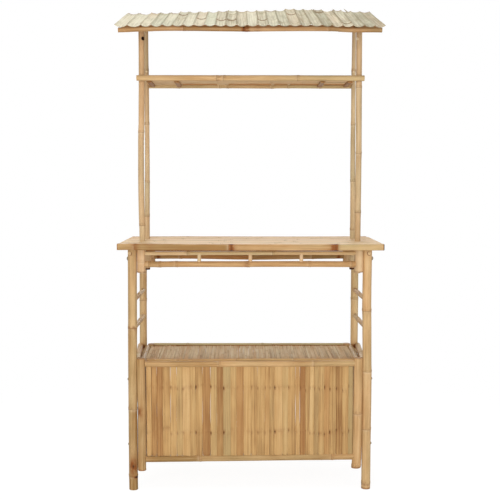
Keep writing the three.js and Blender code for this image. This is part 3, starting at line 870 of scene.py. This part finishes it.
def add_counter():
    # Each rail's y and form
    rails = {
        "front": (-270, dict(
            nodes=(-490, -92, -66, 370),
            # The last mark darkens the rail's underside along its whole length: painted shade
            marks=((-80, 10, 1.6), (350, 15, 1.05), (363, 8, 1.0), (566, 3.2, 3.0), (-562, 3, 0.8),
                   (-487, 15, 0.9, (0, -0.9, 0.44)), (-422, 22, 0.55, (0, -0.8, 0.6)),
                   (0, 900, 1.3, (0, -0.1, -1))),
            looks=((-0.2, -0.1), (-0.4, -0.15), (-0.24, 0.3), (-0.12, 0), (0, -0.4)),
            course=(Z, (-563, 2.6), (-200, 0)))),
        "rear": (270, dict(nodes=(-300, 210))),
    }
    for end, (y, form) in rails.items():
        pole(f"counter_rail_{end}", (2 - COUNTER_HALF, y, COUNTER_RAIL_HEIGHT),
             (COUNTER_HALF + 1, y, COUNTER_RAIL_HEIGHT), 16, "counter_bamboo", (POLE, COUNTER),
             flat=COUNTER_RAIL_FLAT, tone=-0.1, warmth=0.1, spread=0.12, facets=48, **form)
    for number in (1, 2, 3):
        piece = Piece(f"counter_board_{number}_slats")
        dice = piece.dice
        middles, pitch = strips(f"counter_board_{number}")
        for y in middles:
            nodes = np.arange(dice.uniform(60, 300), 1100, dice.uniform(270, 360))
            # The strips reach further out at the right, the more so to the rear
            skew = 8 * (y + 250) / 500
            slat(piece, (-COUNTER_HALF, y, STRIP_FOOT), (COUNTER_HALF + skew, y, STRIP_FOOT), pitch - 0.3,
                 24.6, UP, nodes=nodes, crown=1.1, tone=dice.normal(0.1, 0.13), warmth=dice.normal(0, 0.15))
        piece.make("counter_bamboo", COUNTERS, f"counter_board_{number}")


# The high shelf: its rails' y and height, where its deck ends and its two layers of slats begin, stretches
# of the dark lath under the deck, whose colour is painted shade where the deck meets the rail behind,
# between the knots of that rail, and places of the battens
SHELF_FRONT = (-91.3, 1795.5)
SHELF_REAR = (139.5, 1791)
DECK_HALF = 464
DECK_LAYERS = ((1796, UP), (1795.6, DOWN))
SHELF_SHADE_LATHS = ((-300, -148), (-94, 96), (113, 170), (187, 312), (338, 428))
BATTEN_X = (442.6, 322)


def add_shelf():
    pole("shelf_rail_front", (-495.5, *SHELF_FRONT), (501.5, *SHELF_FRONT), 12.4, nodes=(-146, -116, 207),
         tone=-0.08, blotch=1.0, spread=0.07)
    level("shelf_rail_rear", 490, *SHELF_REAR, 16.8, nodes=(-330, -138, -104, 104, 178, 325), tone=-0.02,
          warmth=-0.25, blotch=0.6, facets=28)
    piece = Piece("shelf_deck_slats")
    middles, pitch = strips("shelf_deck")
    for y in middles:
        nodes = np.arange(piece.dice.uniform(60, 260), 920, piece.dice.uniform(230, 320))
        for height, face in DECK_LAYERS:
            slat(piece, (-DECK_HALF, y, height), (DECK_HALF, y, height), pitch - 0.8, 8.6, face,
                 nodes=nodes, tone=piece.dice.normal(0.02, 0.06), blotch=0.2, scars=0.3)
    piece.make("counter_bamboo", COUNTERS, "shelf_deck")
    # A dark lath under the deck: its colour is painted shade of the gap where the deck meets the rear rail
    piece = Piece("shelf_lath")
    for left, right in SHELF_SHADE_LATHS:
        slat(piece, (left, 60, 1787.6), (right, 60, 1787.6), 9, 7, (0, -0.1, -1), crown=0.6, tone=-1.1,
             warmth=0.3, ragged=(4, 4))
    piece.make("bamboo_slat", SLATS)
    for side, way in SIDES:
        piece = Piece(f"shelf_batten_{side}_slats")
        for x in BATTEN_X:
            slat(piece, (way * x, -70, 1785.6), (way * x, 120, 1785.6), 21, 6.8, DOWN, nodes=(150,),
                 tone=-0.4, warmth=0.45, scars=0.4, kinds=(SKIN, SKIN))
        piece.make("bamboo_slat", SLATS, f"shelf_batten_{side}")


def slope_place(x, along, lift):
    """A place on the roof: x across, a distance up the slope from the eave, and a lift off it."""
    y = -ROOF_DEPTH / 2 + along * math.cos(ROOF_ANGLE) - lift * math.sin(ROOF_ANGLE)
    z = EAVE_HEIGHT + along * math.sin(ROOF_ANGLE) + lift * math.cos(ROOF_ANGLE)
    return np.stack(np.broadcast_arrays(x, y, z), -1)


# Points across a cane, on its skin and again on its inside
CANE_POINTS = 11


def cane(piece, x, width, depth, length, start, nodes, tilt, lift, rise, tone, steps_in=()):
    """A split cane of the roof, hollow side up, with what is left of its diaphragms.

    It lies lift off the slope at its front and rise higher at its rear. steps_in are places where it is
    stepped, with the step's shadow painted dark across it, as where one cane ends over another."""
    dice = piece.dice
    s = stations(length, (*nodes, *steps_in), SLAT_OFFSETS, 30, (0.6,))
    share = s / length
    half = width / 2 + 0.5 * np.sin(s / 70 + dice.uniform(0, 6))
    wall = np.full_like(s, dice.uniform(3.6, 4.8))
    scar, outer = np.zeros((2, len(s)))
    for node in nodes:
        wall += dice.uniform(1.5, 3.6) * bell(s, node, 1.9)
        outer += 0.9 * bell(s, node + 4, 3) + 0.6 * bell(s, node, 1.2)
        scar += dice.uniform(0.15, 0.45) * bell(s, node, 2.2)
    # At each step the cane's wall gets thicker, and a dark line across it is painted shadow of the step
    for place in steps_in:
        wall += 3.0 * np.clip((s - place) / 1.5, 0, 1)
        scar += 1.2 * bell(s, place, 2.2)

    # Section: an arc for the skin, and a smaller one back again for the inside
    depth = depth * (1 - 0.28 * share)
    radius = (half**2 + depth**2) / (2 * depth)
    reach = np.arcsin(np.minimum(half / radius, 0.999))
    steps = np.linspace(-1, 1, CANE_POINTS)
    angle = reach[:, None] * steps
    bottom_x = (radius + outer)[:, None] * np.sin(angle)
    bottom_z = radius[:, None] - (radius + outer)[:, None] * np.cos(angle)
    inner = (radius - wall)[:, None]
    back = angle[:, ::-1] * 0.985
    across = np.concatenate([bottom_x, inner * np.sin(back)], 1)
    height = np.concatenate([bottom_z, radius[:, None] - inner * np.cos(back)], 1)
    columns = across.shape[1]

    # Its two ends, the rear one broken off unevenly
    jag = dice.normal(0, 1.3, columns) + 2.2 * np.sin(np.linspace(0, 9, columns))
    lengthwise = np.broadcast_to(s[:, None], across.shape).copy()
    lengthwise[0] += dice.normal(0, 0.5, columns)
    lengthwise[-1] += jag * dice.choice([0.6, 1.2, 3.0]) * (1.5 if x > 200 else 1.0)
    sag = dice.normal(0, 1.0) * np.sin(math.pi * share) + rise * share
    x_line = x + tilt * (share - 0.5)
    places = slope_place(x_line[:, None] + across, start + lengthwise, lift + height + sag[:, None])

    # What the materials read
    grain = piece.fibres(across, height, s * MM)
    tone = tone + dice.normal(0.0, 0.08)
    warmth = dice.normal(-0.05, 0.16)
    look = np.stack([tone + 0 * s, warmth + 0 * s, 0 * s], -1)[:, None, :] + np.zeros((1, columns, 1))
    # Its two rims are painted darker, as the shade in the crevices between neighbouring canes
    edge = np.concatenate([np.abs(steps), np.abs(steps)])
    look[..., 0] -= 0.25 * np.maximum(edge - 0.86, 0) / 0.14
    look[..., 2] += bell(s, length, 7)[:, None] * dice.choice([0.1, 0.5, 1.0])
    ring = np.stack([scar, 0 * scar, 0.4 * scar], -1)[:, None, :]
    sides = [SKIN] * (CANE_POINTS - 1) + [FLESH] * (CANE_POINTS + 1)
    at = piece.grid(places, grain, look, ring, sides)
    for row in (0, len(s) - 1):
        first = at + row * columns
        for i in range(CANE_POINTS - 1):
            mirror = columns - 1 - i
            piece.faces.append([first + i, first + i + 1, first + mirror - 1, first + mirror])
            piece.kinds.append(FLESH)


# The roof's canes: how many in all and in the left half, where the first ones begin, where some step, and
# at places from left to right how high they lie, how much they rise and what tone they have
CANES = 25
CANES_LEFT = 13
CANE_FIRST_EDGES = (-568, -515, -460)
CANE_STEPS = {5: (395,), 7: (225,), 9: (150,), 10: (150,), 13: (160,), 16: (330,), 19: (410,), 21: (60,)}
CANE_LIFT_X = (-568, -450, -330, 0, 250, 420, 568)
CANE_LIFT = (1, 2, 5, 5, 6, 3, 1)
CANE_RISE = (-10, -9, -7, 1, 7, 5, 1)
CANE_TONE_X = (-568, -200, 100, 568)
CANE_TONE = (0.0, -0.05, -0.16, -0.31)
SLIVER_X = (406, 459)
ROOF_RAIL_HALF = 556


def add_roof():
    length = ROOF_DEPTH / math.cos(ROOF_ANGLE)
    ends = [*CANE_FIRST_EDGES[:-1], *np.linspace(CANE_FIRST_EDGES[-1], ROOF_HALF, CANES - 1)]
    pieces = {side: Piece(f"roof_cover_{side}_canes") for side in ("left", "right")}
    for number in range(CANES):
        piece = pieces["left" if number < CANES_LEFT else "right"]
        dice = piece.dice
        x = (ends[number] + ends[number + 1]) / 2
        width = ends[number + 1] - ends[number]
        nodes = [node for node in (dice.uniform(20, 300), dice.uniform(310, 470)) if dice.random() < 0.4]
        front = dice.uniform(-3, 2)
        lift = np.interp(x, CANE_LIFT_X, CANE_LIFT) + dice.uniform(-0.6, 0.6)
        cane(piece, x + dice.normal(0, 0.6), width + dice.uniform(1.4, 3.0), dice.uniform(8.2, 10.2),
             length - front - dice.uniform(0, 7), front, nodes, dice.normal(0, 1.5), lift,
             np.interp(x, CANE_LIFT_X, CANE_RISE) + dice.normal(0, 1.3),
             np.interp(x, CANE_TONE_X, CANE_TONE), CANE_STEPS.get(number, ()))
    for x in SLIVER_X:
        turned(pieces["right"], slope_place(x, length - 5, 13), (-0.7, 0.1, 0.7), SLIVER, FLESH,
               (-0.35, 0, 0.2), facets=6)
    for side, piece in pieces.items():
        piece.make("weathered_cane", (CANE_SKIN, CANE_INSIDE), f"roof_cover_{side}")
    # Each rail's y, height and form. Some marks lie only over the upper front of the front one: painted
    # shade from the canes above it
    over = (0, -0.6, 0.8)
    rails = {
        "front": (-225, 1981.6, dict(
            nodes=(-281, -20, 330), tone=-0.42, bow=(0, 0, 3),
            marks=((-28, 8, 1.6), (-12, 9, 1.2), (32, 22, 0.45), (-290, 12, 0.4), (330, 30, 0.15),
                   (150, 110, 0.7, over), (-200, 150, 0.4, over), (420, 45, 0.6, over)),
            course=(Z, (-556, -3), (-480, 0), (-400, 3), (-290, 3), (0, 0), (220, 3), (345, 3), (420, -2),
                    (556, 0)))),
        "rear": (225, 2114.8, dict(
            nodes=(-180, 240), tone=-0.2, course=(Z, (-556, -6), (-330, -3), (0, 3), (250, 5), (556, 1)))),
    }
    for end, (y, z, form) in rails.items():
        level(f"roof_rail_{end}", ROOF_RAIL_HALF, y, z, 10, materials=UPPERS, warmth=0.1, spread=0.08,
              blotch=0.8, **form)
    lath("roof_lath", 552, -150, 2002.5, 24, 11, nodes=(180, 470, 760, 1000), crown=0.8, tone=-0.5,
         warmth=0.4)
    for side, _ in SIDES:
        low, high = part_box(f"rafter_{side}")
        x = (low.x + high.x) / 2 / MM
        pole(f"rafter_{side}", (x, -222, 1983), (x, 218, 2115), 9.4, nodes=(-60, 130), tone=-0.05,
             ends=SOLID)


# The cabinet: half the length of its long rails, their radius, and the middles of upper and lower rails
CABINET_RAIL_HALF = 457
CABINET_RAIL_RADIUS = 13
CABINET_LEVELS = (("top", 554), ("bottom", 134))


def add_cabinet_frame():
    # Each post's foot, head, radius and form
    posts = {
        "front_left": (85, 580, 18.2, dict(
            course=(X, (580, -8.5), (462, -8.5), (420, -5), (262, -5), (220, -8), (85, -6.5)))),
        "front_right": (93, 580, 20.0, dict(
            nodes=(335, 100), looks=((0, 0), (0, 0), (-0.09, -0.02)),
            course=(X, (580, 3.2), (330, 3.2), (215, 2.6), (150, -1), (93, -4)))),
        "rear_left": (85, 567, 18.8, dict(nodes=(300,))),
        "rear_right": (85, 567, 18.8, dict(nodes=(300,))),
    }
    for corner, way, back in CORNERS:
        foot, head, radius, form = posts[corner]
        tone, warmth = (-0.25, 0) if way == LEFT else (-0.07, 0.1)
        marks = [(foot + 2, 4, 0.75), (head, 3, 0.6)]
        if corner == "front_left":
            marks.append((345, 20, 1.2, (-0.5, -0.87, 0)))
        upright(f"cabinet_post_{corner}", way * POST_X, back * LEG_Y, foot, head, radius, tone=tone,
                warmth=warmth, facets=28, marks=marks, spread=0.04, ends=STANDING, **form)
    rails = {
        "top_front": dict(nodes=(-136, 276), tone=-0.22, warmth=0.05, swell=1.6,
                          course=(Z, (-467, 0), (180, 0), (420, 2))),
        "top_rear": dict(nodes=(-300, 60), tone=0.1, warmth=-0.9,
                         course=(Z, (-467, 4), (0, 2.5), (467, 2))),
        "bottom_front": dict(nodes=(-222, 355), tone=-0.22, warmth=-0.15, swell=1.2,
                             course=(Z, (-467, -1), (0, 3.5), (467, 7.5))),
        "bottom_rear": dict(nodes=(-300, 60), tone=-0.16),
    }
    for storey, z in CABINET_LEVELS:
        for end, back in ENDS:
            level(f"cabinet_{storey}_rail_{end}", CABINET_RAIL_HALF, back * LEG_Y, z, CABINET_RAIL_RADIUS,
                  ends=SOLID, **rails[f"{storey}_{end}"])
        # The upper side rails are thicker, lie further out and sink to the rear
        front_out, rear_out, drop, thicker = (6, 19, 6, 2.2) if storey == "top" else (0, 0, 0, 0)
        for side, way in SIDES:
            pole(f"cabinet_{storey}_rail_{side}", (way * (POST_X + front_out), 12 - LEG_Y, z),
                 (way * (POST_X + rear_out), LEG_Y - 10, z - drop), CABINET_RAIL_RADIUS + thicker,
                 nodes=(30,), tone=-0.3, warmth=-0.2, ends=SOLID, spread=0.03)


# The cabinet's upright strips: heights of their ends, of the battens that they are nailed to, and of their
# nodes, with how much these stray, and where strips of the front stand open
PANEL_FOOT = 148.5
PANEL_TOP = 542.5
PANEL_BATTENS = (446, 262)
PANEL_NODES = ((450, 5), (256, 8))
PANEL_GAPS = (-430, -348, -215, -95, 190, 310)
PANEL_Y = -208
SIDE_PANEL_NODES = ((450, 2), (265, 4))
SIDE_PANEL_X = 464
SIDE_PANEL_HALF = 191.7

# Strips of the cabinet's front that differ most from the rest: place, tone, warmth
PANEL_STRIPS = ((-389, -0.3, 0.4), (-203, -0.28, 0.4), (-112, -0.1, -0.5), (-30, -0.2, 0.4),
                (240, -0.4, 0.5), (438, -0.2, -0.6))

# The cabinet's sheets of slats: height, materials, narrowest and widest slat, tone, overhang, flare to the
# rear and fade. The top gets wider to the rear, and its front edge is darker, partly as painted shade of
# the lath on it
SHEETS = {
    "cabinet_top": (553.2, GREYS, 6, 13, 0.12, 10, 1.01, 0.8),
    "cabinet_floor": (130.2, SLATS, 22, 34, -0.1, 3, 1.0, 0),
}
SHEET_FRONT = -196
SHEET_REAR = 194


def add_cabinet_sheets():
    piece = Piece("cabinet_front_panel_slats")
    dice = piece.dice
    for middle, width in random_strips(dice, -CABINET_HALF - 4, 2 * CABINET_HALF + 3.5, 15, 36):
        nodes = [node - PANEL_FOOT + dice.normal(0, stray) for node, stray in PANEL_NODES]
        opened = any(abs(middle - width / 2 - gap) < 9 for gap in PANEL_GAPS)
        tone = dice.normal(0, 0.13)
        warmth = dice.normal(0.02, 0.16)
        for place, strip_tone, strip_warmth in PANEL_STRIPS:
            if abs(middle - place) < width / 2:
                tone, warmth = strip_tone, strip_warmth
        slat(piece, (middle, PANEL_Y + dice.normal(0, 0.6), PANEL_FOOT),
             (middle, PANEL_Y + dice.normal(0, 0.6), PANEL_TOP), width + 0.55, 6.2, TO_FRONT, nodes=nodes,
             crown=1.0, tone=tone, warmth=warmth, narrow=2.6 if opened else 0, ragged=(1.5, 1.0),
             blotch=0.5, spread=0.015, pitch=26, scars=0.08,
             nicks=dice.uniform(0.4, 1.4, 2) * (dice.random(2) < 0.4), notch=dice.choice([0, 0, 3.5, 6]),
             stretch=0.0, lens=dice.choice([0, 0.8, 1.9]))
    for height in PANEL_BATTENS:
        slat(piece, (-446, -205.5, height), (446, -205.5, height), 26, 8, (0, 1, 0), nodes=(200, 520, 800),
             tone=-0.3)
    piece.make("bamboo_slat", SLATS, "cabinet_front_panel")
    for side, way in SIDES:
        piece = Piece(f"cabinet_{side}_panel_slats")
        dice = piece.dice
        x = way * SIDE_PANEL_X
        for middle, width in random_strips(dice, -SIDE_PANEL_HALF, 2 * SIDE_PANEL_HALF, 15, 34):
            nodes = [node - PANEL_FOOT + dice.normal(0, stray) for node, stray in SIDE_PANEL_NODES]
            slat(piece, (x, middle, PANEL_FOOT), (x, middle, PANEL_TOP), width + 0.3, 6.2, (way, 0, 0),
                 nodes=nodes, crown=0.9, tone=dice.normal(0, 0.13), warmth=dice.normal(0, 0.18),
                 narrow=dice.choice([0, 0, 0.8, 2.4]), ragged=(1.5, 1.0), blotch=0.7, scars=0.4)
        piece.make("bamboo_slat", SLATS, f"cabinet_{side}_panel")
    for name, (height, materials, low, high, tone, overhang, flare, fade) in SHEETS.items():
        piece = Piece(f"{name}_slats")
        dice = piece.dice
        half = CABINET_HALF + overhang
        for middle, width in random_strips(dice, -half, 2 * half, low, high):
            nodes = np.arange(dice.uniform(20, 220), 380, dice.uniform(200, 280))
            slat(piece, (middle * flare, SHEET_FRONT, height),
                 (middle * flare**2.5 + dice.normal(0, 0.6), SHEET_REAR - dice.uniform(0, 7), height),
                 width * flare**2 + 0.3, 6.4 + dice.normal(0, 0.5), UP, nodes=nodes, crown=0.9,
                 tone=tone + dice.normal(0.04, 0.2), warmth=dice.normal(0, 0.2), ragged=(1.0, 4.0),
                 blotch=0.5, scars=0.4, fade=fade)
        piece.make("bamboo_slat", materials, name)
    piece = Piece("cabinet_top_laths")
    culm(piece, (-450, -189, 565), (450, -189, 565), 6.4, nodes=(-320, -60, 190), tone=0.05, ends=SOLID,
         facets=16, wander=2.0)
    # The rear lath is dark as painted shade of the gap under the rear rail
    culm(piece, (-458, 191, 559.5), (458, 191, 559.5), 5.2, tone=-1.3, spread=0.3, ends=SOLID, facets=16,
         nodes=(-390, -350, -290, -210, -120, 30, 110, 260, 370), wander=2.4)
    piece.make("bamboo_slat", SLATS)


# Heights and sizes of the bolts' heads at a leg, and how far each of them stands out at the four legs
BOLTS = ((1014, 1), (489, 0.66), (202, 0.66))
BOLT_STRAYS = {"front_left": (0, -4, -4), "front_right": (-1, 2, 1.5), "rear_left": (0, -2.5, -1),
               "rear_right": (0, 0, 0)}


def add_bolts():
    piece = Piece("bolts")
    for end, back in ENDS:
        for side, way in SIDES:
            x = way * (LEG_X[back] + LEG_RADIUS[back] - 0.6)
            for (height, size), stray in zip(BOLTS, BOLT_STRAYS[f"{end}_{side}"]):
                turned(piece, (x + stray, back * LEG_Y, height), (way, 0, 0), np.array(BOLT_HEAD) * size)
    piece.make("bamboo_pole", (STEEL,))


add_camera()
add_world()
add_floor()
add_lamp("key", (-1.7, -4.4, 2.2), (0, 0, 1.1), 3.0, 96)
add_lamp("fill", (2.6, -4.4, 1.6), (0, 0, 1.1), 3.0, 58)
add_lamp("low", (0.2, -3.8, 0.2), (0, 0, 1.9), 2.0, 24)
add_lamp("top", (-0.4, -0.6, 5.0), (0, 0, 1.0), 3.0, 75)
add_lamp("back", (0.1, 4.5, 3.0), (0, 0, 1.2), 3.0, 90)
add_legs()
add_ladders()
add_apron()
add_upper_poles()
add_counter()
add_shelf()
add_roof()
add_cabinet_frame()
add_cabinet_sheets()
add_bolts()
